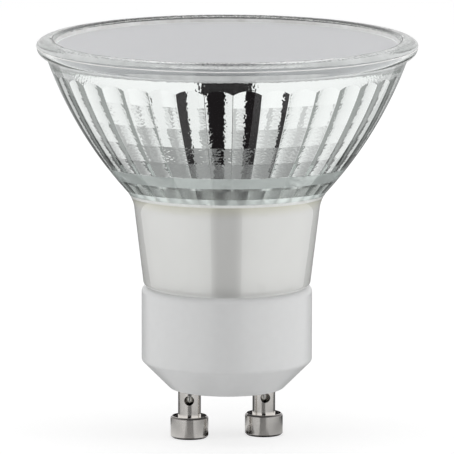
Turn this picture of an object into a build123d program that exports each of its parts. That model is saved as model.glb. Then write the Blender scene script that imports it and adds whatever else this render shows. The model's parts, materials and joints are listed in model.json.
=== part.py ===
"""Mains LED reflector bulb: a pressed-glass reflector on a two-pin twist-lock cap.

Millimetres, +Z up along the lamp's axis. The origin is midway between the two pin ends,
the pins stand in a row along X and the light leaves towards +Z.
"""

import os
from math import cos, hypot, pi, radians, sin, sqrt

from build123d import *

# Contact pins
pin_spacing = 10.0
pin_length = 6.55
pin_head_diameter = 5.0
pin_head_height = 2.9
pin_head_chamfer = 0.25
pin_shank_diameter = 3.0
pin_hole_diameter = 1.3
pin_hole_drop = 1.45
pin_left_turn = -13.5
pin_right_turn = -3.6
pin_flange_diameter = 4.0
pin_flange_height = 0.5

# Cap
cap_diameter = 22.4
cap_height = 13.55
cap_floor = 2.5
cap_wall = 2.0
cap_edge_round = 0.5
cap_lip_round = 0.8

# Glass reflector
neck_bottom_diameter = 21.8
neck_top_diameter = 24.66
neck_height = 11.8
neck_wall = 1.6
neck_edge_round = 0.7
bowl_height = 18.6
bowl_arc_radius = 53.0
bowl_blend_radius = 4.5
glass_wall = 2.0
rim_diameter = 50.0
rim_crest_width = 2.45
rim_bead_width = 1.32
rim_bead_drop = 1.35
rim_bead_rise = 0.95
rim_outer_round = 0.85
rim_inner_round = 0.45

# Mirrored facets inside the bowl
flute_count = 36
flute_depth = 0.24
facet_row_step = 1.48
plain_ring_width = 1.85
reflector_floor_rise = 0.7
plain_band_height = 1.9

# Front diffuser
diffuser_thickness = 1.5
diffuser_recess = 0.9
diffuser_edge_round = 0.2

# Heat sink cup and light board
cup_wall = 1.0
cup_plate = 1.5
cup_skirt = 3.5
light_board_margin = 1.0
light_board_thickness = 1.0
package_length = 3.5
package_width = 2.8
package_height = 0.7
package_well_diameter = 2.2
package_well_depth = 0.15
package_gap = 0.5
package_inset = 3.6
screw_diameter = 1.9
screw_length = 2.2
screw_head_diameter = 3.0
screw_head_height = 1.1
screw_slot_width = 0.5
screw_inset = 1.6

# Driver
sleeve_wall = 0.8
sleeve_top = 0.8
sleeve_rib = 0.8
driver_board_thickness = 1.0
driver_board_drop = 1.2
lead_diameter = 1.0
lead_tip_round = 0.3
lead_overlap = 2.4
output_lead_spacing = 4.0
output_lead_stub = 0.7
capacitor_diameter = 4.2
capacitor_length = 9.0
capacitor_top_round = 0.42
inductor_diameter = 4.2
inductor_length = 6.0
inductor_flange = 0.9
inductor_groove = 0.7
resistor_diameter = 2.3
resistor_length = 5.5
resistor_end_round = 0.46
rectifier_length = 4.7
rectifier_width = 3.9
rectifier_height = 1.5
rectifier_chamfer = 0.3
chip_length = 4.9
chip_width = 3.9
chip_height = 1.45
chip_chamfer = 0.24
chip_legs_a_side = 4
chip_leg_width = 0.45
chip_leg_pitch = 1.27
chip_leg_reach = 1.0
chip_leg_thickness = 0.29
small_part_length = 2.0
small_part_width = 1.25
small_part_height = 0.6
small_part_pitch = 2.4
small_part_columns = 4
small_part_rows = 2

# Clearances between pieces
pin_clearance = 0.03
flange_clearance = 0.15
lead_clearance = 0.1
lead_gap = 0.05
cup_clearance = 0.2
seat_clearance = 0.15
diffuser_clearance = 0.1
board_clearance = 0.15
board_edge_clearance = 0.4

# Heights, from the pin ends up
pin_hole_z = pin_length - pin_hole_drop
cap_bottom_z = pin_length
cap_floor_z = cap_bottom_z + cap_floor
flange_top_z = cap_floor_z + pin_flange_height
cap_top_z = cap_bottom_z + cap_height
bowl_bottom_z = cap_top_z + neck_height
rim_corner_z = bowl_bottom_z + bowl_height
rim_equator_z = rim_corner_z + rim_bead_drop
crest_z = rim_equator_z + rim_bead_rise
diffuser_top_z = crest_z - diffuser_recess
ledge_z = diffuser_top_z - diffuser_thickness
reflector_floor_z = bowl_bottom_z + reflector_floor_rise
cup_top_z = reflector_floor_z - board_clearance
light_board_top_z = cup_top_z + light_board_thickness

# Radii of the glass
neck_bottom_radius = neck_bottom_diameter / 2
neck_top_radius = neck_top_diameter / 2
rim_radius = rim_diameter / 2
rim_corner_radius = rim_radius - rim_bead_width
rebate_radius = rim_radius - rim_crest_width
bore_bottom_radius = neck_bottom_radius - neck_wall
neck_slope = (neck_top_radius - neck_bottom_radius) / neck_height
reflector_floor_radius = bore_bottom_radius + neck_slope * (reflector_floor_z - cap_top_z)

# Centre of the bowl's arc, which the mirrored surface shares
chord_rise = bowl_height
chord_reach = rim_corner_radius - neck_top_radius
chord_length = hypot(chord_rise, chord_reach)
arc_offset = sqrt(bowl_arc_radius**2 - (chord_length / 2) ** 2)
arc_centre_r = (neck_top_radius + rim_corner_radius) / 2 - arc_offset * chord_rise / chord_length
arc_centre_z = (bowl_bottom_z + rim_corner_z) / 2 + arc_offset * chord_reach / chord_length
mirror_arc_radius = bowl_arc_radius - glass_wall


def mirror_radius(height):
    """Radius of the flutes' outer creases at a height."""
    return arc_centre_r + sqrt(mirror_arc_radius**2 - (height - arc_centre_z) ** 2)


def mirror_height(radius):
    """Height at which the flutes' outer creases have a radius."""
    return arc_centre_z - sqrt(mirror_arc_radius**2 - (radius - arc_centre_r) ** 2)


def polar(radius, angle):
    """Point at an angle from -Y, counted towards +X."""
    return (radius * sin(radians(angle)), -radius * cos(radians(angle)))


def round_corner(sketch, corner, radius):
    """Round the corner of a sketched profile that is nearest to a point."""
    fillet(sketch.vertices().sort_by_distance(corner)[0], radius)


plain_band_radius = mirror_radius(ledge_z - plain_band_height)
plain_ring_radius = reflector_floor_radius + plain_ring_width
plain_ring_z = mirror_height(plain_ring_radius)
flute_bottom_radius = plain_ring_radius + facet_row_step
flute_bottom_z = mirror_height(flute_bottom_radius)
flute_top_z = ledge_z + diffuser_recess
flute_depth_share = flute_depth / plain_band_radius
flute_pitch = 360 / flute_count

# One height for each row of facets, at equal steps of radius
facet_heights = []
row_radius = flute_bottom_radius
while row_radius < plain_band_radius:
    facet_heights.append(mirror_height(row_radius))
    row_radius += facet_row_step
facet_heights.append(flute_top_z)

# Fluted cavity of the reflector: inward-bulging arcs, straight from row to row,
# held inside a plain cylinder so that each flute ends in an arch under the rim
with BuildPart() as fluted_cavity:
    for facet_height in facet_heights:
        crease_radius = mirror_radius(facet_height)
        crown_radius = crease_radius * (1 - flute_depth_share)
        with BuildSketch(Plane.XY.offset(facet_height)):
            with BuildLine():
                for flute in range(flute_count):
                    first_angle = flute * flute_pitch
                    ThreePointArc(
                        polar(crease_radius, first_angle),
                        polar(crown_radius, first_angle + flute_pitch / 2),
                        polar(crease_radius, first_angle + flute_pitch),
                    )
            make_face()
    loft(ruled=True)
    with BuildSketch(Plane.XY.offset(flute_bottom_z)):
        Circle(plain_band_radius)
    extrude(amount=flute_top_z - flute_bottom_z, mode=Mode.INTERSECT)

# Glass reflector: neck, bowl and rim bead in one pressed piece
with BuildPart() as glass_reflector:
    with BuildSketch(Plane.XZ) as glass_profile:
        with BuildLine():
            RadiusArc((neck_top_radius, bowl_bottom_z), (rim_corner_radius, rim_corner_z), -bowl_arc_radius)
            TangentArc((rim_radius, rim_equator_z), (rim_corner_radius, rim_corner_z), tangent=(0, -1))
            Polyline(
                (rim_radius, rim_equator_z),
                (rim_radius, crest_z),
                (rebate_radius, crest_z),
                (rebate_radius, ledge_z),
                (0, ledge_z),
                (0, cap_top_z),
                (neck_bottom_radius, cap_top_z),
                (neck_top_radius, bowl_bottom_z),
            )
        make_face()
        round_corner(glass_profile, (neck_bottom_radius, cap_top_z), neck_edge_round)
        round_corner(glass_profile, (neck_top_radius, bowl_bottom_z), bowl_blend_radius)
        round_corner(glass_profile, (rim_radius, crest_z), rim_outer_round)
        round_corner(glass_profile, (rebate_radius, crest_z), rim_inner_round)
    revolve(axis=Axis.Z)
    add(fluted_cavity.part, mode=Mode.SUBTRACT)
    # Plain rings under the flutes, then the bore of the neck
    with BuildSketch(Plane.XZ):
        with BuildLine():
            Polyline(
                (0, cap_top_z),
                (bore_bottom_radius, cap_top_z),
                (reflector_floor_radius, reflector_floor_z),
                (plain_ring_radius, plain_ring_z),
                (flute_bottom_radius * (1 - flute_depth_share), flute_bottom_z),
                (0, flute_bottom_z),
                close=True,
            )
        make_face()
    revolve(axis=Axis.Z, mode=Mode.SUBTRACT)
glass_reflector.part.label = "glass_reflector"

# Front diffuser: flat disc in the rim's rebate
with BuildPart() as front_diffuser:
    with BuildSketch(Plane.XY.offset(ledge_z)):
        Circle(rebate_radius - diffuser_clearance)
    extrude(amount=diffuser_thickness)
    fillet(front_diffuser.edges(), diffuser_edge_round)
front_diffuser.part.label = "front_diffuser"

# Heat sink cup: tapered wall inside the glass neck, plate on top, skirt down into the cap
cup_bottom_radius = bore_bottom_radius - cup_clearance
cup_top_radius = reflector_floor_radius - cup_clearance
cup_bottom_z = cap_top_z - cup_skirt
plate_bottom_z = cup_top_z - cup_plate
plate_inner_radius = cup_bottom_radius + neck_slope * (plate_bottom_z - cap_top_z) - cup_wall
lead_hole_radius = lead_diameter / 2 + lead_clearance
light_board_radius = reflector_floor_radius - light_board_margin
screw_radius = screw_diameter / 2
screw_spacing = 2 * (light_board_radius - screw_inset)
with BuildPart() as heat_sink_cup:
    with BuildSketch(Plane.XZ):
        with BuildLine():
            Polyline(
                (0, cup_top_z),
                (cup_top_radius, cup_top_z),
                (cup_bottom_radius, cap_top_z),
                (cup_bottom_radius, cup_bottom_z),
                (cup_bottom_radius - cup_wall, cup_bottom_z),
                (cup_bottom_radius - cup_wall, cap_top_z),
                (plate_inner_radius, plate_bottom_z),
                (0, plate_bottom_z),
                close=True,
            )
        make_face()
    revolve(axis=Axis.Z)
    with Locations((0, 0, cup_top_z)):
        with GridLocations(output_lead_spacing, 0, 2, 1):
            Hole(lead_hole_radius, depth=cup_plate)
        with GridLocations(0, screw_spacing, 1, 2):
            Hole(screw_radius + pin_clearance, depth=cup_plate)
heat_sink_cup.part.label = "heat_sink_cup"

# Light board: round metal-core board on the cup's plate
with BuildPart() as led_board:
    with BuildSketch(Plane.XY.offset(cup_top_z)):
        Circle(light_board_radius)
        with GridLocations(output_lead_spacing, 0, 2, 1):
            Circle(lead_hole_radius, mode=Mode.SUBTRACT)
        with GridLocations(0, screw_spacing, 1, 2):
            Circle(screw_radius + pin_clearance, mode=Mode.SUBTRACT)
    extrude(amount=light_board_thickness)
led_board.part.label = "led_board"

# Light-emitting packages in a ring, an even count so that the screws come between them,
# each with a shallow well for its phosphor
package_ring_radius = light_board_radius - package_inset
package_ring_room = 2 * pi * (package_ring_radius - package_length / 2)
package_count = 2 * int(package_ring_room / (package_width + package_gap) / 2)
package_start_angle = 90 + 180 / package_count
with BuildPart() as led_packages:
    with BuildSketch(Plane.XY.offset(light_board_top_z)):
        with PolarLocations(package_ring_radius, package_count, start_angle=package_start_angle):
            Rectangle(package_length, package_width)
    extrude(amount=package_height)
    with BuildSketch(Plane.XY.offset(light_board_top_z + package_height)):
        with PolarLocations(package_ring_radius, package_count, start_angle=package_start_angle):
            Circle(package_well_diameter / 2)
    extrude(amount=-package_well_depth, mode=Mode.SUBTRACT)
led_packages.part.label = "led_packages"

# Screws through the light board into the plate
with BuildPart() as board_screws:
    with BuildSketch(Plane.XY.offset(light_board_top_z)):
        with GridLocations(0, screw_spacing, 1, 2):
            Circle(screw_head_diameter / 2)
    extrude(amount=screw_head_height)
    with BuildSketch(Plane.XY.offset(light_board_top_z)):
        with GridLocations(0, screw_spacing, 1, 2):
            Circle(screw_radius)
    extrude(amount=-screw_length)
    with BuildSketch(Plane.XY.offset(light_board_top_z + screw_head_height)):
        with GridLocations(0, screw_spacing, 1, 2):
            Rectangle(screw_head_diameter, screw_slot_width)
    extrude(amount=-screw_head_height / 2, mode=Mode.SUBTRACT)
board_screws.part.label = "board_screws"

# Cap: moulded cup with a wide bevel, bored for the pins and open at the top for the heat sink
cap_radius = cap_diameter / 2
cap_bore_radius = cup_bottom_radius + seat_clearance
floor_radius = pin_spacing / 2 + pin_flange_diameter / 2 + flange_clearance
cap_face_radius = floor_radius - cap_floor + cap_wall * sqrt(2)
cap_bevel_z = cap_bottom_z + cap_radius - cap_face_radius
inner_bevel_z = cap_floor_z + cap_bore_radius - floor_radius
with BuildPart() as cap_shell:
    with BuildSketch(Plane.XZ) as cap_profile:
        with BuildLine():
            Polyline(
                (0, cap_bottom_z),
                (cap_face_radius, cap_bottom_z),
                (cap_radius, cap_bevel_z),
                (cap_radius, cap_top_z),
                (cap_bore_radius, cap_top_z),
                (cap_bore_radius, inner_bevel_z),
                (floor_radius, cap_floor_z),
                (0, cap_floor_z),
                close=True,
            )
        make_face()
        round_corner(cap_profile, (cap_face_radius, cap_bottom_z), cap_edge_round)
        round_corner(cap_profile, (cap_radius, cap_bevel_z), cap_edge_round)
        round_corner(cap_profile, (cap_radius, cap_top_z), cap_lip_round)
    revolve(axis=Axis.Z)
    with Locations((0, 0, cap_floor_z)):
        with GridLocations(pin_spacing, 0, 2, 1):
            Hole(pin_shank_diameter / 2 + pin_clearance, depth=cap_floor)
cap_shell.part.label = "cap_shell"


def make_pin(centre_x, turn):
    """Turned contact pin: head, shank, rivet flange inside the cap, bore and side hole for its lead."""
    head_radius = pin_head_diameter / 2
    shank_radius = pin_shank_diameter / 2
    flange_radius = pin_flange_diameter / 2
    side_plane = Plane(origin=(centre_x, 0, 0), x_dir=(1, 0, 0), z_dir=(0, -1, 0))
    hole_facing = (sin(radians(turn)), -cos(radians(turn)), 0)
    hole_plane = Plane(origin=(centre_x, 0, pin_hole_z), x_dir=(0, 0, 1), z_dir=hole_facing)
    with BuildPart() as pin:
        with BuildSketch(side_plane):
            with BuildLine():
                Polyline(
                    (0, 0),
                    (head_radius - pin_head_chamfer, 0),
                    (head_radius, pin_head_chamfer),
                    (head_radius, pin_head_height - pin_head_chamfer),
                    (head_radius - pin_head_chamfer, pin_head_height),
                    (shank_radius, pin_head_height),
                    (shank_radius, cap_floor_z),
                    (flange_radius, cap_floor_z),
                    (flange_radius, flange_top_z),
                    (0, flange_top_z),
                    close=True,
                )
            make_face()
        revolve(axis=Axis((centre_x, 0, 0), (0, 0, 1)))
        with Locations((centre_x, 0, flange_top_z)):
            Hole(lead_hole_radius, depth=flange_top_z - pin_hole_z + pin_hole_diameter / 2)
        with BuildSketch(hole_plane):
            Circle(pin_hole_diameter / 2)
        extrude(amount=pin_shank_diameter, mode=Mode.SUBTRACT)
    return pin.part


contact_pin_left = make_pin(-pin_spacing / 2, pin_left_turn)
contact_pin_left.label = "contact_pin_left"
contact_pin_right = make_pin(pin_spacing / 2, pin_right_turn)
contact_pin_right.label = "contact_pin_right"

# Driver sleeve: insulating cup between the driver and the heat sink, clear of the cap's bevel and the pins,
# and ribbed above the input leads to hold the board's edges
sleeve_radius = cup_bottom_radius - cup_wall - seat_clearance
sleeve_inner_radius = sleeve_radius - sleeve_wall
sleeve_bottom_z = max(flange_top_z, cap_floor_z + sleeve_radius - floor_radius) + seat_clearance
sleeve_top_z = plate_bottom_z - seat_clearance
sleeve_ceiling_z = sleeve_top_z - sleeve_top
board_front_y = lead_diameter / 2 + lead_gap
board_back_y = board_front_y + driver_board_thickness
board_middle_y = (board_front_y + board_back_y) / 2
driver_board_width = 2 * (sqrt(sleeve_inner_radius**2 - board_back_y**2) - board_edge_clearance)
board_bottom_z = sleeve_bottom_z + driver_board_drop
board_top_z = sleeve_ceiling_z - board_clearance
input_lead_bottom_z = pin_hole_z - pin_hole_diameter / 2 + lead_clearance
input_lead_top_z = board_bottom_z + lead_overlap
rib_bottom_z = input_lead_top_z + board_clearance
rib_pitch = driver_board_thickness + 2 * board_clearance + sleeve_rib
rib_inner_x = driver_board_width / 2 - sleeve_rib
with BuildPart() as driver_insulator:
    with BuildSketch(Plane.XY.offset(sleeve_bottom_z)):
        Circle(sleeve_radius)
    extrude(amount=sleeve_top_z - sleeve_bottom_z)
    with BuildSketch(Plane.XY.offset(sleeve_bottom_z)):
        Circle(sleeve_inner_radius)
    extrude(amount=rib_bottom_z - sleeve_bottom_z, mode=Mode.SUBTRACT)
    with BuildSketch(Plane.XY.offset(rib_bottom_z)):
        Circle(sleeve_inner_radius)
        with Locations((0, board_middle_y)):
            with GridLocations(2 * rib_inner_x + sleeve_inner_radius, rib_pitch, 2, 2):
                Rectangle(sleeve_inner_radius, sleeve_rib, mode=Mode.SUBTRACT)
    extrude(amount=sleeve_ceiling_z - rib_bottom_z, mode=Mode.SUBTRACT)
    with Locations((0, 0, sleeve_top_z)):
        with GridLocations(output_lead_spacing, 0, 2, 1):
            Hole(lead_hole_radius, depth=sleeve_top)
driver_insulator.part.label = "driver_insulator"

# Driver board, upright across the axis behind the leads
with BuildPart() as driver_board:
    with BuildSketch(Plane.XZ.offset(-board_front_y)):
        with Locations((0, (board_bottom_z + board_top_z) / 2)):
            Rectangle(driver_board_width, board_top_z - board_bottom_z)
    extrude(amount=-driver_board_thickness)
driver_board.part.label = "driver_board"


def make_lead(centre_x, bottom_z, top_z):
    """Straight round lead with rounded tips."""
    with BuildPart() as lead:
        with BuildSketch(Plane.XY.offset(bottom_z)):
            with Locations((centre_x, 0)):
                Circle(lead_diameter / 2)
        extrude(amount=top_z - bottom_z)
        fillet(lead.edges().filter_by(GeomType.CIRCLE), lead_tip_round)
    return lead.part


input_lead_left = make_lead(-pin_spacing / 2, input_lead_bottom_z, input_lead_top_z)
input_lead_left.label = "input_lead_left"
input_lead_right = make_lead(pin_spacing / 2, input_lead_bottom_z, input_lead_top_z)
input_lead_right.label = "input_lead_right"
output_lead_bottom_z = board_top_z - lead_overlap
output_lead_top_z = light_board_top_z + output_lead_stub
output_lead_left = make_lead(-output_lead_spacing / 2, output_lead_bottom_z, output_lead_top_z)
output_lead_left.label = "output_lead_left"
output_lead_right = make_lead(output_lead_spacing / 2, output_lead_bottom_z, output_lead_top_z)
output_lead_right.label = "output_lead_right"

# Parts on the board's front, in two columns between the leads
front_bottom_z = input_lead_top_z + board_clearance
column_x = rib_inner_x / 2
with BuildPart() as buffer_capacitor:
    with BuildSketch(Plane.XY.offset(front_bottom_z)):
        with Locations((-column_x, board_front_y - capacitor_diameter / 2)):
            Circle(capacitor_diameter / 2)
    extrude(amount=capacitor_length)
    fillet(buffer_capacitor.edges().group_by(Axis.Z)[-1], capacitor_top_round)
buffer_capacitor.part.label = "buffer_capacitor"

with BuildPart() as storage_inductor:
    with BuildSketch(Plane.XY.offset(front_bottom_z)):
        with Locations((column_x, board_front_y - inductor_diameter / 2)):
            Circle(inductor_diameter / 2)
    extrude(amount=inductor_length)
    with BuildSketch(Plane.XY.offset(front_bottom_z + inductor_flange)):
        with Locations((column_x, board_front_y - inductor_diameter / 2)):
            Circle(inductor_diameter / 2)
            Circle(inductor_diameter / 2 - inductor_groove, mode=Mode.SUBTRACT)
    extrude(amount=inductor_length - 2 * inductor_flange, mode=Mode.SUBTRACT)
storage_inductor.part.label = "storage_inductor"

resistor_bottom_z = front_bottom_z + inductor_length + board_clearance
with BuildPart() as fuse_resistor:
    with BuildSketch(Plane.XY.offset(resistor_bottom_z)):
        with Locations((column_x, board_front_y - resistor_diameter / 2)):
            Circle(resistor_diameter / 2)
    extrude(amount=resistor_length)
    fillet(fuse_resistor.edges().group_by(Axis.Z)[-1], resistor_end_round)
    fillet(fuse_resistor.edges().group_by(Axis.Z)[0], resistor_end_round)
fuse_resistor.part.label = "fuse_resistor"

# Flat parts on the board's back, one above the other
back_plane = Plane(origin=(0, board_back_y, 0), x_dir=(-1, 0, 0), z_dir=(0, 1, 0))
back_bottom_z = board_bottom_z + board_clearance + rectifier_width / 2
with BuildPart() as bridge_rectifier:
    with BuildSketch(back_plane):
        with Locations((0, back_bottom_z)):
            Rectangle(rectifier_length, rectifier_width)
    extrude(amount=rectifier_height)
    chamfer(bridge_rectifier.edges().group_by(Axis.Y)[-1], rectifier_chamfer)
bridge_rectifier.part.label = "bridge_rectifier"

chip_z = back_bottom_z + rectifier_width / 2 + chip_width / 2 + 2 * chip_leg_reach
with BuildPart() as driver_chip:
    with BuildSketch(back_plane):
        with Locations((0, chip_z)):
            Rectangle(chip_length, chip_width)
    extrude(amount=chip_height)
    chamfer(driver_chip.edges().group_by(Axis.Y)[-1], chip_chamfer)
    with BuildSketch(back_plane):
        with Locations((0, chip_z)):
            with GridLocations(chip_leg_pitch, 0, chip_legs_a_side, 1):
                Rectangle(chip_leg_width, chip_width + 2 * chip_leg_reach)
    extrude(amount=chip_leg_thickness)
driver_chip.part.label = "driver_chip"

small_parts_z = chip_z + chip_width / 2 + chip_leg_reach + board_clearance
small_rows_z = small_parts_z + (small_part_length + (small_part_rows - 1) * small_part_pitch) / 2
with BuildPart() as chip_components:
    with BuildSketch(back_plane):
        with Locations((0, small_rows_z)):
            with GridLocations(small_part_pitch, small_part_pitch, small_part_columns, small_part_rows):
                Rectangle(small_part_width, small_part_length)
    extrude(amount=small_part_height)
chip_components.part.label = "chip_components"

pieces = [
    glass_reflector.part,
    front_diffuser.part,
    heat_sink_cup.part,
    led_board.part,
    led_packages.part,
    board_screws.part,
    cap_shell.part,
    contact_pin_left,
    contact_pin_right,
    driver_insulator.part,
    driver_board.part,
    input_lead_left,
    input_lead_right,
    output_lead_left,
    output_lead_right,
    buffer_capacitor.part,
    storage_inductor.part,
    fuse_resistor.part,
    bridge_rectifier.part,
    driver_chip.part,
    chip_components.part,
]

os.makedirs("parts", exist_ok=True)
for piece in pieces:
    export_step(piece, f"parts/{piece.label}.step")
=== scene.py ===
import json
from math import atan2, cos, hypot, pi, radians, sin, sqrt, tan

import bpy
from mathutils import Euler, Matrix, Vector


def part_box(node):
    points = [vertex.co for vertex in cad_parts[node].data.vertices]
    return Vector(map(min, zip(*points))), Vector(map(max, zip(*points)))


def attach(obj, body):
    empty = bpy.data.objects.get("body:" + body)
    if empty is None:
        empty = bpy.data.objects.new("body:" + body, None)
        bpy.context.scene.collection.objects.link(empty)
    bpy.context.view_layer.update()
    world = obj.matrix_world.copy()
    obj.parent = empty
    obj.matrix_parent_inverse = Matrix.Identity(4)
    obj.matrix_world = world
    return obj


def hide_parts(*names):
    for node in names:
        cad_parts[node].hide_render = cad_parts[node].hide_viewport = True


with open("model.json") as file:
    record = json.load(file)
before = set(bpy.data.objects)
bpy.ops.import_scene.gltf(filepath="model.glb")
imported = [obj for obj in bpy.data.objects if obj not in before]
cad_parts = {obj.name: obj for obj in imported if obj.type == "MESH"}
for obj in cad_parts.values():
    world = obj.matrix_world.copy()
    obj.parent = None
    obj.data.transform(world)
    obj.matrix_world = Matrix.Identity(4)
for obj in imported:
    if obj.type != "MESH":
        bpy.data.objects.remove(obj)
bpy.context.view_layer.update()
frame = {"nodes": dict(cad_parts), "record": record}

MM = 0.001

# Glass sizes that the boxes of the nodes don't give, in millimetres, as in the part's source
NECK_BOTTOM_RADIUS = 10.9
NECK_TOP_RADIUS = 12.33
NECK_HEIGHT = 11.8
NECK_WALL = 1.6
NECK_EDGE_ROUND = 0.7
BOWL_HEIGHT = 18.6
BOWL_ARC_RADIUS = 53.0
BOWL_BLEND_RADIUS = 4.5
GLASS_WALL = 2.0
RIM_BEAD_WIDTH = 1.32
RIM_BEAD_DROP = 1.35
RIM_OUTER_ROUND = 0.85
RIM_INNER_ROUND = 0.45
DIFFUSER_CLEARANCE = 0.1
FLUTE_COUNT = 36
FLUTE_DEPTH = 0.24
FACET_ROW_STEP = 1.48
PLAIN_RING_WIDTH = 1.85
REFLECTOR_FLOOR_RISE = 0.7
PLAIN_BAND_HEIGHT = 1.9

# Fine forms and edges of coats that the solids leave out: millimetres, or shares of a row or flute
PARTING_RIDGE = 0.06
EDGE_GAP = 0.45
# GLINT_WIDTH is the width of the painted highlight where the coat ends at the neck
GLINT_WIDTH = 0.35
SOFT_COAT_WIDTH = 0.95
THIN_COAT_SHARE = 0.18
FACET_STEP_SHARE = 0.02
CREASE_SHARE = 0.02

# Mesh steps along the profile's arcs and across a flute
ROUND_STEPS = 8
BLEND_STEPS = 14
BOWL_STEPS = 40
BEAD_STEPS = 16
CROWN_STEPS = 14
FLUTE_STEPS = 10
COLUMN_SHARES = [0.0, CREASE_SHARE, *(i / FLUTE_STEPS for i in range(1, FLUTE_STEPS)), 1.0 - CREASE_SHARE]
COLUMNS_PER_FLUTE = len(COLUMN_SHARES)
COLUMNS = FLUTE_COUNT * COLUMNS_PER_FLUTE

# Finishes: depths in millimetres, and fades as the shares of a texture between which a colour changes
GLASS_COLOUR = (0.95, 0.975, 0.965)
GLASS_INDEX = 1.5
TRAPPED_COLOUR = (0.38, 0.40, 0.39)
# Dark specks in the glass along the rim's crest are painted dark glints
GLINT_SPECK_SCALE = 3600.0
GLINT_SPECK_DEPTHS = (0.16, 0.28)
GLINT_SPECK_FADE = (0.48, 0.54)
PAINTED_GLINT_COLOUR = (0.2, 0.21, 0.21)
# Over the top SATIN_SHADE millimetres the satin coat turns darker and yellower: painted shade
SATIN_SHADE = 2.2
SATIN_MOTTLING = 0.2
SATIN_STOPS = [(0.06, (0.83, 0.82, 0.805)), (0.14, (0.8, 0.79, 0.775)), (1.0, (0.7, 0.68, 0.585))]
MOTTLING_FADE = (0.3, 0.7)
SPECK_FADE = (0.45, 0.55)
ROUGHNESS_SPREAD = 0.15
OPAL_DEPTH = 2.0

# Contact pins: the head's height, the lines of painted shade along its edges and their fades, and the turned
# rings
PIN_HEAD_HEIGHT = 2.9
PIN_LOW_LINE = 0.22
PIN_LOW_FADE = 0.088
PIN_TOP_LINE = 0.22
PIN_TOP_FADE = 0.05
PIN_RING_PITCH = 0.14
PIN_RING_DEPTH = 0.004
NICKEL_COLOUR = (0.79, 0.765, 0.735)
PAINTED_TOP_SHADE_COLOUR = (0.16, 0.15, 0.145)
PAINTED_LOW_SHADE_COLOUR = (0.03, 0.028, 0.027)

# A wave texture of scale 1 repeats over this length
WAVE_PERIOD = 2 * pi / 20

# Rays that have been mirrored more often than this are taken as trapped in the glass
TRAPPED_TURNS = 2.5

# Camera, from the photograph: degrees and millimetres, pixels for the image, and metres for the clipping
IMAGE_SIZE = 454
CAMERA_AZIMUTH = -12.0
CAMERA_ELEVATION = 9.28
CAMERA_DISTANCE = 1000.0
CAMERA_ROLL = 0.1
PIXELS_PER_MM = 7.624
AIM_HEIGHT = 27.83
SENSOR_WIDTH = 36.0
CLIP_START = 0.01
CLIP_END = 50.0

# Floor and world: levels as shares of white, the floor's size in metres, its shading in millimetres
FLOOR_SIZE = 12.0
FLOOR_COLOUR = 0.85
FLOOR_SHADOW_SHARE = 0.38
FLOOR_GLOW = 0.7
SHADE_RING = 26.0
SHADE_WIDTH = 36.0
SHADE_ASIDE = -4.5
DIM_FROM = 60.0
DIM_TO = -40.0
DIM_SHARE = 0.74
WORLD_LIGHT = 0.4
SHOWING_RAYS = ["Is Camera Ray", "Is Glossy Ray", "Is Transmission Ray"]

# Lamps: degrees from the camera's side and above the floor, metres, and levels as shares of white
SIDE_LAMP_TURN = 80.0
SIDE_LAMP_RISE = 12.0
SIDE_LAMP_DISTANCE = 0.8
SIDE_LAMP_SIZE = 0.5
LEFT_LAMP_LEVEL = 0.30
RIGHT_LAMP_LEVEL = 0.36
TOP_LAMP_RISE = 88.0
TOP_LAMP_DISTANCE = 0.9
TOP_LAMP_SIZE = 0.7
TOP_LAMP_LEVEL = 0.55

# Cards and flags that only metal and glass show, in millimetres and in degrees from the camera's side
CARD_HEIGHT = 0.3
FLAG_STARTS = (25.0, 33.0)
FLAG_REACH = 900.0
FLAG_SPREAD = (-19.5, 18.0)
FLAG_TOP = 400.0
FLAG_COLOUR = (0.014, 0.012, 0.013)
FRINGE_START = 18.5
FRINGE_SPECK = 0.5

# Back cards: distance behind the axis and half width at each end, and half the angle left open between
BACK_CARD_STATIONS = ((6.0, 32.0), (75.0, 80.4), (170.0, 147.0), (600.0, 450.0))
BACK_CARD_OPENINGS = (12.0, 0.0, 0.0)
BACK_CARD_DARK = (0.14, 0.14, 0.14)
BACK_CARD_GREY = (0.42, 0.43, 0.43)

# Back flag, and strips on the floor
BACK_FLAG_HALF_WIDTH = 34.0
BACK_FLAG_HEIGHTS = (45.0, 230.0)
STRIP_TURNS = (-65.0, 45.0)
STRIP_HALF_ANGLE = 6.0
STRIP_REACH = (32.0, 54.0)
STRIP_SHADES = (0.5, 0.66)
LIGHT_STRIP_TURNS = (-46.0, -21.0)
LIGHT_STRIP_REACH = (33.5, 75.0)
LIGHT_STRIP_COLOUR = (0.98, 0.98, 0.98)

# Wedges that start from each pin's axis, and half sizes of the card between the pins
PIN_SPACING = 10.0
PIN_CARD_HALF_ANGLE = 21.0
PIN_CARD_REACH = (2.6, 15.0)
PIN_CARD_HEIGHTS = (0.04, 0.08)
PIN_CARD_COLOUR = (0.46, 0.455, 0.45)
PIN_GAP_CARD = (1.9, 2.6)
PIN_GAP_COLOUR = (0.05, 0.045, 0.042)


def node_mm(name):
    """Lowest and highest corner of a CAD node, in millimetres."""
    low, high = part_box(name)
    return low / MM, high / MM


# Profile helpers: points are (radius, height) in millimetres

def arc(centre, radius, start, end, steps):
    """Points of an arc about a centre from one angle to another, both ends kept."""
    points = []
    for i in range(steps + 1):
        angle = start + (end - start) * i / steps
        points.append((centre[0] + radius * cos(angle), centre[1] + radius * sin(angle)))
    return points


def part_way(start, end, share):
    """Point on a straight line, at a share of its length."""
    return start[0] + (end[0] - start[0]) * share, start[1] + (end[1] - start[1]) * share


def short_turn(turn):
    """The same turn, taken the short way round."""
    return (turn + pi) % (2 * pi) - pi


def angle_of(centre, point):
    """Angle of a point about a centre."""
    return atan2(point[1] - centre[1], point[0] - centre[0])


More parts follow.
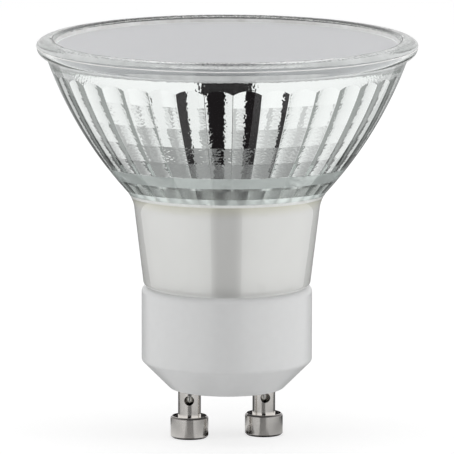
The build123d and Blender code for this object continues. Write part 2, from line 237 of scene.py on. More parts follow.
def corner_round(before, corner, after, radius):
    """Arc that rounds a corner between two straight runs."""
    u = (Vector(before) - Vector(corner)).normalized()
    v = (Vector(after) - Vector(corner)).normalized()
    half = u.angle(v) / 2
    centre = Vector(corner) + (u + v).normalized() * (radius / sin(half))
    start = angle_of(centre, Vector(corner) + u * (radius / tan(half)))
    end = angle_of(centre, Vector(corner) + v * (radius / tan(half)))
    return arc(centre, radius, start, start + short_turn(end - start), ROUND_STEPS)


class GlassShape:
    """Heights and radii of the glass reflector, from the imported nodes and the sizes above."""

    def __init__(self):
        low, high = node_mm("glass_reflector")
        disc_low, disc_high = node_mm("front_diffuser")
        self.neck_z = low.z
        self.crest_z = high.z
        self.rim_radius = high.x
        self.corner_radius = self.rim_radius - RIM_BEAD_WIDTH
        self.ledge_z = disc_low.z
        self.disc_top_z = disc_high.z
        self.rebate_radius = disc_high.x + DIFFUSER_CLEARANCE
        self.bowl_z = self.neck_z + NECK_HEIGHT
        self.corner_z = self.bowl_z + BOWL_HEIGHT
        self.equator_z = self.corner_z + RIM_BEAD_DROP
        self.floor_z = self.bowl_z + REFLECTOR_FLOOR_RISE
        self.neck_slope = (NECK_TOP_RADIUS - NECK_BOTTOM_RADIUS) / NECK_HEIGHT
        self.bore_radius = NECK_BOTTOM_RADIUS - NECK_WALL
        self.floor_radius = self.bore_radius + self.neck_slope * (self.floor_z - self.neck_z)
        reach = self.corner_radius - NECK_TOP_RADIUS
        chord = hypot(BOWL_HEIGHT, reach)
        offset = sqrt(BOWL_ARC_RADIUS**2 - (chord / 2) ** 2)
        self.arc_centre = (
            (NECK_TOP_RADIUS + self.corner_radius) / 2 - offset * BOWL_HEIGHT / chord,
            (self.bowl_z + self.corner_z) / 2 + offset * reach / chord,
        )
        self.mirror_arc_radius = BOWL_ARC_RADIUS - GLASS_WALL
        self.band_radius = self.mirror_radius(self.ledge_z - PLAIN_BAND_HEIGHT)
        self.ring_radius = self.floor_radius + PLAIN_RING_WIDTH
        self.ring_z = self.mirror_height(self.ring_radius)
        self.flute_low_radius = self.ring_radius + FACET_ROW_STEP
        self.flute_low_z = self.mirror_height(self.flute_low_radius)
        self.depth_share = FLUTE_DEPTH / self.band_radius

    def mirror_radius(self, height):
        """Radius of the flutes' outer creases at a height."""
        return self.arc_centre[0] + sqrt(self.mirror_arc_radius**2 - (height - self.arc_centre[1]) ** 2)

    def mirror_height(self, radius):
        """Height at which the flutes' outer creases have a radius."""
        return self.arc_centre[1] - sqrt(self.mirror_arc_radius**2 - (radius - self.arc_centre[0]) ** 2)

    def facet_heights(self):
        """Row heights from the lowest flute up, at equal steps of radius, with one above the plain band."""
        heights = []
        radius = self.flute_low_radius
        while radius < self.band_radius:
            heights.append(self.mirror_height(radius))
            radius += FACET_ROW_STEP
        heights.append(self.ledge_z + self.crest_z - self.disc_top_z)
        return heights

    def flute_share(self, column):
        """Radius on an inward-bulging flute at a column, as a share of its crease radius."""
        half_pitch = pi / FLUTE_COUNT
        crown = 1 - self.depth_share
        sag = cos(half_pitch) - crown
        radius = (sin(half_pitch) ** 2 + sag**2) / (2 * sag)
        centre = crown + radius
        angle = (COLUMN_SHARES[column % COLUMNS_PER_FLUTE] - 0.5) * 2 * half_pitch
        return centre * cos(angle) - sqrt(radius**2 - (centre * sin(angle)) ** 2)

    def facet_share(self, column):
        """Radius on a flat facet of the ring, two flutes wide, as a share of its corner radius."""
        flute, place = divmod(column, COLUMNS_PER_FLUTE)
        half_pitch = 2 * pi / FLUTE_COUNT
        along = (flute % 2 + COLUMN_SHARES[place]) / 2
        return cos(half_pitch) / cos((along - 0.5) * 2 * half_pitch)

    def neck_blend(self):
        """Centre of the blend between neck and bowl, and its two ends."""
        direction = Vector((NECK_TOP_RADIUS - NECK_BOTTOM_RADIUS, NECK_HEIGHT)).normalized()
        outward = Vector((direction.y, -direction.x))
        start = Vector((NECK_BOTTOM_RADIUS, self.neck_z)) + outward * BOWL_BLEND_RADIUS
        hub = Vector(self.arc_centre)
        reach = BOWL_ARC_RADIUS + BOWL_BLEND_RADIUS
        along = (start - hub).dot(direction)
        square = (start - hub).length_squared - reach**2
        centre = start - direction * (along + sqrt(along**2 - square))
        on_neck = centre - outward * BOWL_BLEND_RADIUS
        on_bowl = hub + (centre - hub).normalized() * BOWL_ARC_RADIUS
        return centre, on_neck, on_bowl

    def body_run(self, corner):
        """Outside from the neck's foot up to the corner under the rim."""
        foot = (NECK_BOTTOM_RADIUS, self.neck_z)
        inner_foot = (self.bore_radius, self.neck_z)
        centre, on_neck, on_bowl = self.neck_blend()
        foot_round = corner_round(inner_foot, foot, on_neck, NECK_EDGE_ROUND)
        start = angle_of(centre, on_neck)
        end = start + short_turn(angle_of(centre, on_bowl) - start)
        blend = arc(centre, BOWL_BLEND_RADIUS, start, end, BLEND_STEPS)
        low, high = (angle_of(self.arc_centre, point) for point in (on_bowl, corner))
        bowl = arc(self.arc_centre, BOWL_ARC_RADIUS, low, high, BOWL_STEPS)
        return foot_round + blend + bowl[1:]

    def outer_profile(self):
        """Runs of the outside, from the neck's foot round the rim to the inner edge of the ledge."""
        corner = (self.corner_radius, self.corner_z)
        side_radius = self.rim_radius - PARTING_RIDGE
        inset = side_radius - self.corner_radius
        bead_radius = (inset**2 + RIM_BEAD_DROP**2) / (2 * inset)
        bead_centre = (side_radius - bead_radius, self.equator_z)
        bead_start = angle_of(bead_centre, corner)
        bead = arc(bead_centre, bead_radius, bead_start, -PARTING_RIDGE / bead_radius, BEAD_STEPS)
        ridge = arc((side_radius, self.equator_z), PARTING_RIDGE, -pi / 2, pi / 2, ROUND_STEPS)
        crest_outer = (side_radius, self.crest_z)
        crest_inner = (self.rebate_radius, self.crest_z)
        disc_edge = (self.rebate_radius, self.disc_top_z)
        gap_end = (self.rebate_radius, self.disc_top_z - EDGE_GAP)
        ledge_outer = (self.rebate_radius, self.ledge_z)
        ledge_inner = (self.band_radius, self.ledge_z)
        crown_reach = side_radius - self.rebate_radius - RIM_INNER_ROUND
        outer_round = []
        for i in range(CROWN_STEPS + 1):
            turn = pi / 2 * i / CROWN_STEPS
            radius = side_radius - crown_reach * (1 - cos(turn))
            outer_round.append((radius, self.crest_z - RIM_OUTER_ROUND * (1 - sin(turn))))
        inner_round = corner_round(crest_outer, crest_inner, ledge_outer, RIM_INNER_ROUND)
        return [
            self.body_run(corner),
            bead,
            ridge,
            outer_round + inner_round,
            [inner_round[-1], disc_edge],
            [disc_edge, gap_end],
            [gap_end, ledge_outer],
            [ledge_outer, ledge_inner],
        ]


class GridMesh:
    """Closed mesh of rows of points round the axis, joined row to row, with a material for each step."""

    def __init__(self, angles):
        self.angles = angles
        self.columns = len(angles)
        self.rows = []
        self.sharp_rows = set()
        self.step_materials = []

    def add(self, points, material, sharp=False):
        """One row of (radius, height) per column, a crease if sharp, and the material of the step to it."""
        if self.rows:
            self.step_materials.append(material)
        if sharp:
            self.sharp_rows.add(len(self.rows))
        self.rows.append(points)

    def add_ring(self, radius, height, material):
        """One plain round row."""
        self.add([(radius, height)] * self.columns, material)

    def build(self, name, materials):
        """The object: the last row joins the first."""
        vertices = []
        for row in self.rows:
            for column, (radius, height) in enumerate(row):
                angle = self.angles[column]
                vertices.append((radius * sin(angle) * MM, -radius * cos(angle) * MM, height * MM))
        count = len(self.rows)
        faces = []
        slots = []
        steps = self.step_materials + [self.step_materials[0]]
        for i in range(count):
            below = i * self.columns
            above = ((i + 1) % count) * self.columns
            for j in range(self.columns):
                k = (j + 1) % self.columns
                faces.append((below + j, below + k, above + k, above + j))
                slots.append(steps[i])
        mesh = bpy.data.meshes.new(name)
        mesh.from_pydata(vertices, [], faces)
        for material in materials:
            mesh.materials.append(material)
        mesh.polygons.foreach_set("material_index", slots)
        mesh.polygons.foreach_set("use_smooth", [True] * len(faces))
        for edge in mesh.edges:
            row_a, row_b = (vertex // self.columns for vertex in edge.vertices)
            edge.use_edge_sharp = row_a == row_b and row_a in self.sharp_rows
        mesh.update()
        obj = bpy.data.objects.new(name, mesh)
        bpy.context.scene.collection.objects.link(obj)
        return obj


def build_glass(shape, materials):
    """The reflector: plain outside with a white parting line that is mostly a painted highlight, fluted
    mirror inside, coated bore.
    """
    glass, mirror, ring, thin, painted_light, satin, bond, crest = range(8)
    # The parting ridge and the wall above the cover take the painted light: a painted highlight on the ridge,
    # and lightening of the wall's shade
    run_materials = (glass, glass, painted_light, crest, painted_light, glass, bond, bond)
    pitch = 2 * pi / FLUTE_COUNT
    grid = GridMesh([(flute + share) * pitch for flute in range(FLUTE_COUNT) for share in COLUMN_SHARES])
    for run, material in zip(shape.outer_profile(), run_materials):
        for radius, height in run[1:] if grid.rows else run:
            grid.add_ring(radius, height, material)
        grid.sharp_rows.add(len(grid.rows) - 1)
    flutes = [shape.flute_share(column) for column in range(COLUMNS)]
    facets = [shape.facet_share(column) for column in range(COLUMNS)]
    plain = [1.0] * COLUMNS
    heights = shape.facet_heights()
    top, upper = heights[-1], heights[-2]
    top_radius, upper_radius = shape.mirror_radius(top), shape.mirror_radius(upper)
    arches = []
    for share in flutes:
        along = (shape.band_radius - upper_radius * share) / ((top_radius - upper_radius) * share)
        arches.append((shape.band_radius, upper + (top - upper) * along))
    grid.add(arches, mirror, sharp=True)
    flute_foot = (shape.flute_low_radius, shape.flute_low_z)
    ring_edge = (shape.ring_radius, shape.ring_z)
    floor_edge = (shape.floor_radius, shape.floor_z)
    rows = [((shape.mirror_radius(height), height), flutes, mirror) for height in reversed(heights[:-1])]
    rows += [
        (part_way(flute_foot, ring_edge, FACET_STEP_SHARE), facets, mirror),
        (part_way(ring_edge, flute_foot, THIN_COAT_SHARE), facets, ring),
        (ring_edge, flutes, thin),
        (part_way(floor_edge, ring_edge, SOFT_COAT_WIDTH / PLAIN_RING_WIDTH), flutes, thin),
        (part_way(floor_edge, ring_edge, GLINT_WIDTH / PLAIN_RING_WIDTH), plain, ring),
        (floor_edge, plain, painted_light),
        ((shape.bore_radius, shape.neck_z), plain, satin),
    ]
    for (radius, height), form, material in rows:
        grid.add([(radius * share, height) for share in form], material, sharp=True)
    return grid.build("reflector_glass", materials)


# Node helpers

def math_node(tree, operation, *values):
    """Result of a Math node, from sockets and plain numbers."""
    node = tree.nodes.new("ShaderNodeMath")
    node.operation = operation
    for slot, value in zip(node.inputs, values):
        if isinstance(value, float):
            slot.default_value = value
        else:
            tree.links.new(value, slot)
    return node.outputs["Value"]


def vector_node(tree, operation, vector, fixed):
    """Number that a Vector Math node makes of a socket and a fixed vector."""
    node = tree.nodes.new("ShaderNodeVectorMath")
    node.operation = operation
    node.inputs[1].default_value = fixed
    tree.links.new(vector, node.inputs[0])
    return node.outputs["Value"]


def map_range(tree, value, source=(0.0, 1.0), target=(0.0, 1.0), smooth=False):
    """A value's range spread over another, with soft ends if smooth."""
    node = tree.nodes.new("ShaderNodeMapRange")
    node.interpolation_type = "SMOOTHSTEP" if smooth else "LINEAR"
    for name, number in zip(("From Min", "From Max", "To Min", "To Max"), (*source, *target)):
        node.inputs[name].default_value = number
    tree.links.new(value, node.inputs["Value"])
    return node.outputs["Result"]


def colour_ramp(tree, value, stops):
    """Colours at shares from 0 to 1 of a value, blended between."""
    node = tree.nodes.new("ShaderNodeValToRGB")
    elements = node.color_ramp.elements
    while len(elements) < len(stops):
        elements.new(1.0)
    for element, (share, colour) in zip(elements, stops):
        element.position = share
        element.color = (*colour, 1.0)
    tree.links.new(value, node.inputs["Fac"])
    return node.outputs["Color"]


def mix_shaders(tree, share, first, second):
    """Blend of two shaders, by a share from 0 to 1."""
    node = tree.nodes.new("ShaderNodeMixShader")
    tree.links.new(share, node.inputs["Fac"])
    tree.links.new(first, node.inputs[1])
    tree.links.new(second, node.inputs[2])
    return node.outputs["Shader"]


def noise(tree, scale, detail=3.0):
    """Noise in object space, with about scale grains to a metre."""
    place = tree.nodes.new("ShaderNodeTexCoord")
    texture = tree.nodes.new("ShaderNodeTexNoise")
    texture.inputs["Scale"].default_value = scale
    texture.inputs["Detail"].default_value = detail
    tree.links.new(place.outputs["Object"], texture.inputs["Vector"])
    return texture.outputs["Fac"]


def object_height(tree):
    """Height in the object's own space, in metres."""
    place = tree.nodes.new("ShaderNodeTexCoord")
    split = tree.nodes.new("ShaderNodeSeparateXYZ")
    tree.links.new(place.outputs["Object"], split.inputs["Vector"])
    return split.outputs["Z"]


def ray_share(tree, kinds):
    """1 for the named kinds of ray and 0 for the others."""
    path = tree.nodes.new("ShaderNodeLightPath")
    share = path.outputs[kinds[0]]
    for kind in kinds[1:]:
        share = math_node(tree, "MAXIMUM", share, path.outputs[kind])
    return share


def transparent(tree, colour=(1.0, 1.0, 1.0)):
    """Shader that lets rays straight through, tinted."""
    node = tree.nodes.new("ShaderNodeBsdfTransparent")
    node.inputs["Color"].default_value = (*colour, 1.0)
    return node.outputs["BSDF"]


def diffuse(tree, share):
    """Matt grey shader, at a share of white."""
    node = tree.nodes.new("ShaderNodeBsdfDiffuse")
    node.inputs["Color"].default_value = (share, share, share, 1.0)
    return node.outputs["BSDF"]


def cover_with(tree, shader):
    """Make a shader the material's surface."""
    tree.links.new(shader, tree.nodes["Material Output"].inputs["Surface"])


def vary_roughness(tree, shader, texture, low, high):
    """Roughness between two values, led by a texture."""
    tree.links.new(map_range(tree, texture, target=(low, high)), shader.inputs["Roughness"])


def vary_colour(tree, shader, texture, dark, light):
    """Base colour between two colours, led by a texture."""
    mottled = colour_ramp(tree, texture, list(zip(MOTTLING_FADE, (dark, light))))
    tree.links.new(mottled, shader.inputs["Base Color"])


def bump(tree, shader, texture, strength, depth):
    """Relief from a texture, with its depth in millimetres."""
    node = tree.nodes.new("ShaderNodeBump")
    node.inputs["Strength"].default_value = strength
    node.inputs["Distance"].default_value = depth * MM
    tree.links.new(texture, node.inputs["Height"])
    tree.links.new(node.outputs["Normal"], shader.inputs["Normal"])


# Materials

def principled(name, colour, roughness, metallic=0.0):
    """New material, its node tree and its Principled shader."""
    material = bpy.data.materials.new(name)
    material.use_nodes = True
    tree = material.node_tree
    shader = tree.nodes["Principled BSDF"]
    shader.inputs["Base Color"].default_value = (*colour, 1.0)
    shader.inputs["Roughness"].default_value = roughness
    shader.inputs["Metallic"].default_value = metallic
    return material, tree, shader


def clear_glass(name, scale, strength):
    """Clear glass: light gets through to what lies behind it, and rays that wander inside leave it weaker."""
    material, tree, shader = principled(name, GLASS_COLOUR, roughness=0.0)
    shader.inputs["Transmission Weight"].default_value = 1.0
    shader.inputs["IOR"].default_value = GLASS_INDEX
    bump(tree, shader, noise(tree, scale), strength, depth=0.05)
    lighting = ray_share(tree, ["Is Shadow Ray", "Is Diffuse Ray"])
    lit = mix_shaders(tree, lighting, shader.outputs["BSDF"], transparent(tree))
    path = tree.nodes.new("ShaderNodeLightPath")
    trapped = math_node(tree, "GREATER_THAN", path.outputs["Glossy Depth"], TRAPPED_TURNS)
    cover_with(tree, mix_shaders(tree, trapped, lit, transparent(tree, TRAPPED_COLOUR)))
    return material


def crest_glass(crest):
    """Clear glass with fine dark specks along the rim's top: painted dark glints."""
    material = clear_glass("crest_glass", scale=3000.0, strength=0.75)
    tree = material.node_tree
    start, full = ((crest - depth) * MM for depth in reversed(GLINT_SPECK_DEPTHS))
    near_top = map_range(tree, object_height(tree), (start, full), smooth=True)
    share = math_node(tree, "MULTIPLY", noise(tree, GLINT_SPECK_SCALE), near_top)
    painted_glints = colour_ramp(tree, share, list(zip(GLINT_SPECK_FADE, (GLASS_COLOUR, PAINTED_GLINT_COLOUR))))
    tree.links.new(painted_glints, tree.nodes["Principled BSDF"].inputs["Base Color"])
    return material


def mirror_coat():
    """Bright metal film on the facets, a little uneven."""
    material, tree, shader = principled("mirror_coat", (0.95, 0.955, 0.95), roughness=0.03, metallic=1.0)
    bump(tree, shader, noise(tree, scale=3200.0, detail=0.0), strength=0.5, depth=0.02)
    return material


def ring_coat():
    """Mirror coat on the plain ring, softer than on the facets."""
    material, tree, shader = principled("ring_coat", (0.93, 0.985, 0.965), roughness=0.14, metallic=0.66)
    bump(tree, shader, noise(tree, scale=900.0), strength=1.0, depth=0.05)
    return material


def thin_coat():
    """Thin end of the mirror coat, by the neck."""
    material, tree, shader = principled("thin_coat", (0.6, 0.6, 0.58), roughness=0.26, metallic=1.0)
    vary_colour(tree, shader, noise(tree, scale=300.0), (0.54, 0.555, 0.54), (0.73, 0.765, 0.75))
    return material


def painted_light_edge():
    """Pale matt glass as painted light: a painted highlight where the coat ends at the neck and on the rim's
    parting line, which is partly a real frosted line, and painted light on the shaded wall above the cover.
    """
    material, tree, shader = principled("painted_light_edge", (0.95, 0.95, 0.94), roughness=0.3)
    vary_colour(tree, shader, noise(tree, scale=500.0), (0.8, 0.79, 0.77), (0.98, 0.98, 0.97))
    return material


def satin_coat(top):
    """Pearly silver inside of the neck, which the clear wall shows at its full width, with painted shade that
    makes it darker and yellower at its top.
    """
    material, tree, shader = principled("satin_coat", (0.81, 0.8, 0.785), roughness=0.2, metallic=0.18)
    span = ((top - SATIN_SHADE) * MM, top * MM)
    near_top = map_range(tree, object_height(tree), span, (0.0, 1.0 - SATIN_MOTTLING), smooth=True)
    share = math_node(tree, "MULTIPLY_ADD", noise(tree, scale=160.0), SATIN_MOTTLING, near_top)
    tree.links.new(colour_ramp(tree, share, SATIN_STOPS), shader.inputs["Base Color"])
    bump(tree, shader, noise(tree, scale=700.0), strength=0.1, depth=0.02)
    return material


def seat_bond():
    """Milky bond between the glass seat and the cover."""
    material, tree, shader = principled("seat_bond", (0.7, 0.71, 0.71), roughness=0.5)
    vary_colour(tree, shader, noise(tree, scale=600.0), (0.62, 0.63, 0.63), (0.76, 0.77, 0.77))
    return material


def simple_material(name, colour, roughness, metallic=0.0, spread=0.06):
    """Plain finish with fine mottling in colour, roughness and relief."""
    material, tree, shader = principled(name, colour, roughness, metallic)
    texture = noise(tree, scale=900.0)
    dark = tuple(channel * (1 - spread) for channel in colour)
    light = tuple(min(1.0, channel * (1 + spread)) for channel in colour)
    vary_colour(tree, shader, texture, dark, light)
    rougher = min(1.0, roughness * (1 + ROUGHNESS_SPREAD))
    vary_roughness(tree, shader, texture, roughness * (1 - ROUGHNESS_SPREAD), rougher)
    bump(tree, shader, texture, strength=0.1, depth=0.02)
    return material


def nickel_pin():
    """Turned nickel: fine rings, and a dark line of painted shade along the head's lower and upper edge."""
    material, tree, shader = principled("nickel_pin", NICKEL_COLOUR, roughness=0.08, metallic=1.0)
    span = 2 * PIN_HEAD_HEIGHT
    along = map_range(tree, object_height(tree), (0.0, span * MM))
    top_line = PIN_HEAD_HEIGHT - PIN_TOP_LINE
    # Painted shade: darker bands at the head's lower and upper edge
    stops = [
        (PIN_LOW_LINE, PAINTED_LOW_SHADE_COLOUR),
        (PIN_LOW_LINE + PIN_LOW_FADE, NICKEL_COLOUR),
        (top_line - PIN_TOP_FADE, NICKEL_COLOUR),
        (top_line, PAINTED_TOP_SHADE_COLOUR),
        (PIN_HEAD_HEIGHT - PIN_TOP_FADE, PAINTED_TOP_SHADE_COLOUR),
        (PIN_HEAD_HEIGHT, NICKEL_COLOUR),
    ]
    lines = colour_ramp(tree, along, [(height / span, colour) for height, colour in stops])
    tree.links.new(lines, shader.inputs["Base Color"])
    place = tree.nodes.new("ShaderNodeTexCoord")
    rings = tree.nodes.new("ShaderNodeTexWave")
    rings.bands_direction = "Z"
    rings.inputs["Scale"].default_value = WAVE_PERIOD / (PIN_RING_PITCH * MM)
    tree.links.new(place.outputs["Object"], rings.inputs["Vector"])
    bump(tree, shader, rings.outputs["Fac"], strength=1.0, depth=PIN_RING_DEPTH)
    return material


def milky_cover():
    """Opal plastic that lets light wander inside, so that its edge isn't dark."""
    material, tree, shader = principled("opal_cover", (0.535, 0.54, 0.555), roughness=0.4)
    shader.inputs["Subsurface Weight"].default_value = 1.0
    shader.inputs["Subsurface Radius"].default_value = (1.0, 1.0, 1.0)
    shader.inputs["Subsurface Scale"].default_value = OPAL_DEPTH * MM
    bump(tree, shader, noise(tree, scale=1500.0), strength=0.05, depth=0.01)
    return material


def paint_nodes():
    """A material for every CAD node but the glass, which a mesh replaces."""
    looks = {
        "milky_cover": milky_cover(),
        "satin_aluminium": simple_material("satin_aluminium", (0.82, 0.82, 0.81), 0.33, 1.0, spread=0.02),
        "white_board": simple_material("white_board", (0.85, 0.85, 0.83), 0.4),
        "phosphor_package": simple_material("phosphor_package", (0.85, 0.68, 0.22), 0.5),
        "plated_screw": simple_material("plated_screw", (0.6, 0.6, 0.6), 0.3, 1.0),
        "white_cap": simple_material("white_cap", (0.77, 0.775, 0.775), 0.3, spread=0.01),
        "nickel_pin": nickel_pin(),
        "white_sleeve": simple_material("white_sleeve", (0.8, 0.8, 0.77), 0.45),
        "green_board": simple_material("green_board", (0.05, 0.22, 0.1), 0.4),
        "tinned_lead": simple_material("tinned_lead", (0.7, 0.7, 0.68), 0.25, 1.0),
        "capacitor_can": simple_material("capacitor_can", (0.03, 0.04, 0.08), 0.35),
        "ferrite": simple_material("ferrite", (0.08, 0.08, 0.08), 0.6),
        "resistor_body": simple_material("resistor_body", (0.25, 0.45, 0.55), 0.35),
        "black_package": simple_material("black_package", (0.02, 0.02, 0.02), 0.5),
        "chip_body": simple_material("chip_body", (0.5, 0.45, 0.36), 0.45),
    }
    for entry in frame["record"]["subparts"]:
        node = frame["nodes"][entry["node"]]
        look = looks.get(entry["material_slot"])
        if look is None:
            continue
        node.data.materials.clear()
        node.data.materials.append(look)


# Stage, light and camera

def stage_point(aside, ahead, height):
    """Point from the part's axis, to the right of the camera's view and toward the camera, in millimetres."""
    azimuth = radians(CAMERA_AZIMUTH)
    right = Vector((cos(azimuth), sin(azimuth), 0))
    front = Vector((sin(azimuth), -cos(azimuth), 0))
    return right * aside + front * ahead + Vector((0, 0, height))


def stage_direction(turn, rise):
    """Direction from the part, in degrees from the camera's side and above the floor."""
    azimuth, elevation = radians(CAMERA_AZIMUTH + turn), radians(rise)
    return Vector((sin(azimuth) * cos(elevation), -cos(azimuth) * cos(elevation), sin(elevation)))


def flat_object(name, faces, material):
    """Stage object from the corners of its faces, in millimetres."""
    mesh = bpy.data.meshes.new(name)
    corners = []
    indices = []
    for face in faces:
        indices.append(tuple(range(len(corners), len(corners) + len(face))))
        corners.extend(Vector(corner) * MM for corner in face)
    mesh.from_pydata(corners, [], indices)
    mesh.materials.append(material)
    obj = bpy.data.objects.new(name, mesh)
    bpy.context.scene.collection.objects.link(obj)
    return obj


def mirrored_share(tree):
    """Share of its glow that the floor shows in mirrors: less in a ring under the bowl and at the back."""
    place = tree.nodes.new("ShaderNodeNewGeometry").outputs["Position"]
    distance = vector_node(tree, "DISTANCE", place, stage_point(SHADE_ASIDE, 0.0, 0.0) * MM)
    off_ring = math_node(tree, "ABSOLUTE", math_node(tree, "SUBTRACT", distance, SHADE_RING * MM))
    pool = map_range(tree, off_ring, (0.0, SHADE_WIDTH * MM), smooth=True)
    ahead = vector_node(tree, "DOT_PRODUCT", place, stage_point(0.0, 1.0, 0.0))
    dimmer = map_range(tree, ahead, (DIM_FROM * MM, DIM_TO * MM), (1.0, DIM_SHARE))
    return math_node(tree, "MINIMUM", pool, dimmer)


def build_floor():
    """Pale floor: white with a soft shadow in the picture, shaded under the bowl where mirrors show it."""
    material = bpy.data.materials.new("pale_floor")
    material.use_nodes = True
    tree = material.node_tree
    tree.nodes.remove(tree.nodes["Principled BSDF"])
    share = math_node(tree, "MAXIMUM", mirrored_share(tree), ray_share(tree, ["Is Camera Ray"]))
    glow = tree.nodes.new("ShaderNodeEmission")
    tree.links.new(math_node(tree, "MULTIPLY", share, FLOOR_GLOW), glow.inputs["Strength"])
    shown = tree.nodes.new("ShaderNodeAddShader")
    tree.links.new(diffuse(tree, FLOOR_SHADOW_SHARE), shown.inputs[0])
    tree.links.new(glow.outputs["Emission"], shown.inputs[1])
    bounce = diffuse(tree, FLOOR_COLOUR)
    cover_with(tree, mix_shaders(tree, ray_share(tree, SHOWING_RAYS), bounce, shown.outputs["Shader"]))
    half = FLOOR_SIZE / MM / 2
    flat_object("floor", [[(-half, -half, 0), (half, -half, 0), (half, half, 0), (-half, half, 0)]], material)


def build_card(name, faces, colour, speck_size=None):
    """Matt card, whole or in specks, that only metal and glass show: no shadow, and out of the picture."""
    material, tree, shader = principled(name, colour, roughness=1.0)
    shader.inputs["Specular IOR Level"].default_value = 0.0
    if speck_size:
        grains = noise(tree, 1 / (speck_size * MM))
        specks = colour_ramp(tree, grains, list(zip(SPECK_FADE, ((0, 0, 0), (1, 1, 1)))))
        cover_with(tree, mix_shaders(tree, specks, transparent(tree), shader.outputs["BSDF"]))
    card = flat_object(name, faces, material)
    card.visible_camera = False
    card.visible_diffuse = False
    card.visible_shadow = False


def fan_point(slope, ahead, height=CARD_HEIGHT):
    """Point on a line that leaves the axis toward the camera, at a slope to the side."""
    return stage_point(slope * ahead, ahead, height)


def sector(left, right, reach, height=CARD_HEIGHT, centre=(0.0, 0.0, 0.0)):
    """Corners of a lying card between two turns from the camera's side and two distances from a centre."""
    near, far = reach
    corners = []
    for turn, distance in ((left, near), (right, near), (right, far), (left, far)):
        angle = radians(turn)
        corners.append(Vector(centre) + stage_point(sin(angle) * distance, cos(angle) * distance, height))
    return corners


def build_front_flag():
    """Black flag before the part, with a specked near edge: lying on the floor, then upright."""
    left, right = (tan(radians(angle)) for angle in FLAG_SPREAD)
    near_left, near_right = (fan_point(slope, start) for slope, start in zip((left, right), FLAG_STARTS))
    far_left, far_right = fan_point(left, FLAG_REACH), fan_point(right, FLAG_REACH)
    top_left, top_right = fan_point(left, FLAG_REACH, FLAG_TOP), fan_point(right, FLAG_REACH, FLAG_TOP)
    lying = [near_left, near_right, far_right, far_left]
    upright = [far_left, far_right, top_right, top_left]
    fringe = [fan_point(left, FRINGE_START), fan_point(right, FRINGE_START), near_right, near_left]
    build_card("front_flag", [lying, upright], FLAG_COLOUR)
    build_card("flag_fringe", [fringe], FLAG_COLOUR, FRINGE_SPECK)


def build_back_cards():
    """Cards on the floor behind the part, which darken the glass edges, and a black flag far behind it."""
    for i, colour in enumerate((BACK_CARD_DARK, BACK_CARD_DARK, BACK_CARD_GREY)):
        start, near = BACK_CARD_STATIONS[i]
        end, far = BACK_CARD_STATIONS[i + 1]
        opening = tan(radians(BACK_CARD_OPENINGS[i]))
        corners = ((start * opening, start), (near, start), (far, end), (end * opening, end))
        halves = []
        for sign in (-1, 1):
            halves.append([stage_point(sign * side, -back, CARD_HEIGHT) for side, back in corners])
        build_card(f"back_card_{i + 1}", halves, colour)
    wide = BACK_FLAG_HALF_WIDTH
    low, high = BACK_FLAG_HEIGHTS
    corners = ((-wide, low), (wide, low), (wide, high), (-wide, high))
    upright = [stage_point(side, -FLAG_REACH, height) for side, height in corners]
    build_card("back_flag", [upright], FLAG_COLOUR)


def build_strips():
    """Grey strips and a light one on the floor, which the flutes show as stripes."""
    half = STRIP_HALF_ANGLE
    for i, (turn, shade) in enumerate(zip(STRIP_TURNS, STRIP_SHADES)):
        strip = sector(turn - half, turn + half, STRIP_REACH)
        build_card(f"side_strip_{i + 1}", [strip], (shade, shade, shade))
    build_card("light_strip", [sector(*LIGHT_STRIP_TURNS, LIGHT_STRIP_REACH)], LIGHT_STRIP_COLOUR)


def build_pin_cards():
    """Grey wedges before the pins and a dark card between them, which the plating shows."""
    turn, half = PIN_CARD_HALF_ANGLE, PIN_SPACING / 2
    wedges = []
    for place, height in zip((-half, half), PIN_CARD_HEIGHTS):
        wedges.append(sector(-turn, turn, PIN_CARD_REACH, height, centre=(place, 0.0, 0.0)))
    build_card("pin_wedges", wedges, PIN_CARD_COLOUR)
    wide, deep = PIN_GAP_CARD
    corners = ((-wide, -deep), (wide, -deep), (wide, deep), (-wide, deep))
    build_card("pin_gap", [[(x, y, PIN_CARD_HEIGHTS[0]) for x, y in corners]], PIN_GAP_COLOUR)


def build_world():
    """White studio all round: it lights at one level, and metal, glass and the picture show it white."""
    world = bpy.data.worlds.new("studio")
    bpy.context.scene.world = world
    world.use_nodes = True
    tree = world.node_tree
    background = tree.nodes["Background"]
    background.inputs["Color"].default_value = (1.0, 1.0, 1.0, 1.0)
    level = map_range(tree, ray_share(tree, SHOWING_RAYS), target=(WORLD_LIGHT, 1.0))
    tree.links.new(level, background.inputs["Strength"])


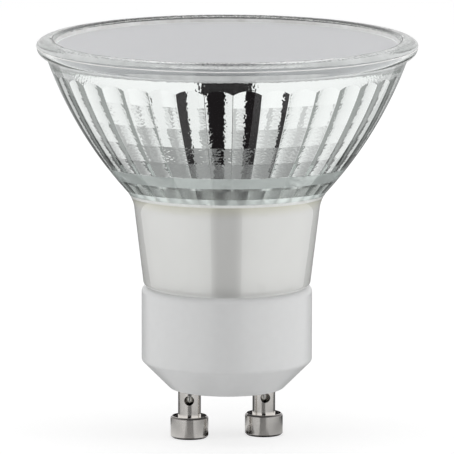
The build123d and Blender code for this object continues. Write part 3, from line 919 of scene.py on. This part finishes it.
def build_softbox(name, turn, rise, distance, size, level, shown=False):
    """Square soft lamp that faces the part, at a level that is its share of white on a surface facing it."""
    data = bpy.data.lights.new(name, "AREA")
    data.size = size
    data.energy = level * (pi * distance) ** 2
    lamp = bpy.data.objects.new(name, data)
    bpy.context.scene.collection.objects.link(lamp)
    toward = stage_direction(turn, rise)
    lamp.location = toward * distance + Vector((0, 0, AIM_HEIGHT * MM))
    lamp.rotation_mode = "QUATERNION"
    lamp.rotation_quaternion = toward.to_track_quat("Z", "Y")
    lamp.visible_glossy = shown
    lamp.visible_transmission = False


def build_lamps():
    """A softbox on each side, and one above that the cover and the rim reflect."""
    side = (SIDE_LAMP_RISE, SIDE_LAMP_DISTANCE, SIDE_LAMP_SIZE)
    build_softbox("left_softbox", -SIDE_LAMP_TURN, *side, LEFT_LAMP_LEVEL)
    build_softbox("right_softbox", SIDE_LAMP_TURN, *side, RIGHT_LAMP_LEVEL)
    top = (TOP_LAMP_RISE, TOP_LAMP_DISTANCE, TOP_LAMP_SIZE)
    build_softbox("top_softbox", 0.0, *top, TOP_LAMP_LEVEL, shown=True)


def build_camera():
    """Camera at the photograph's viewing angle and scale."""
    data = bpy.data.cameras.new("camera")
    camera = bpy.data.objects.new("camera", data)
    scene = bpy.context.scene
    scene.collection.objects.link(camera)
    toward = stage_direction(0.0, CAMERA_ELEVATION)
    camera.location = (Vector((0, 0, AIM_HEIGHT)) + toward * CAMERA_DISTANCE) * MM
    level_view = (-toward).to_track_quat("-Z", "Y")
    camera.rotation_mode = "QUATERNION"
    camera.rotation_quaternion = level_view @ Euler((0, 0, radians(CAMERA_ROLL))).to_quaternion()
    data.sensor_width = SENSOR_WIDTH
    data.lens = PIXELS_PER_MM * CAMERA_DISTANCE / IMAGE_SIZE * SENSOR_WIDTH
    data.clip_start = CLIP_START
    data.clip_end = CLIP_END
    scene.camera = camera


paint_nodes()
glass_shape = GlassShape()
glass_object = build_glass(
    glass_shape,
    [
        clear_glass("clear_glass", scale=220.0, strength=0.05),
        mirror_coat(),
        ring_coat(),
        thin_coat(),
        painted_light_edge(),
        satin_coat(glass_shape.floor_z),
        seat_bond(),
        crest_glass(glass_shape.crest_z),
    ],
)
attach(glass_object, "root")
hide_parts("glass_reflector")
build_floor()
build_front_flag()
build_back_cards()
build_strips()
build_pin_cards()
build_world()
build_lamps()
build_camera()
bpy.context.scene.view_settings.view_transform = "Standard"
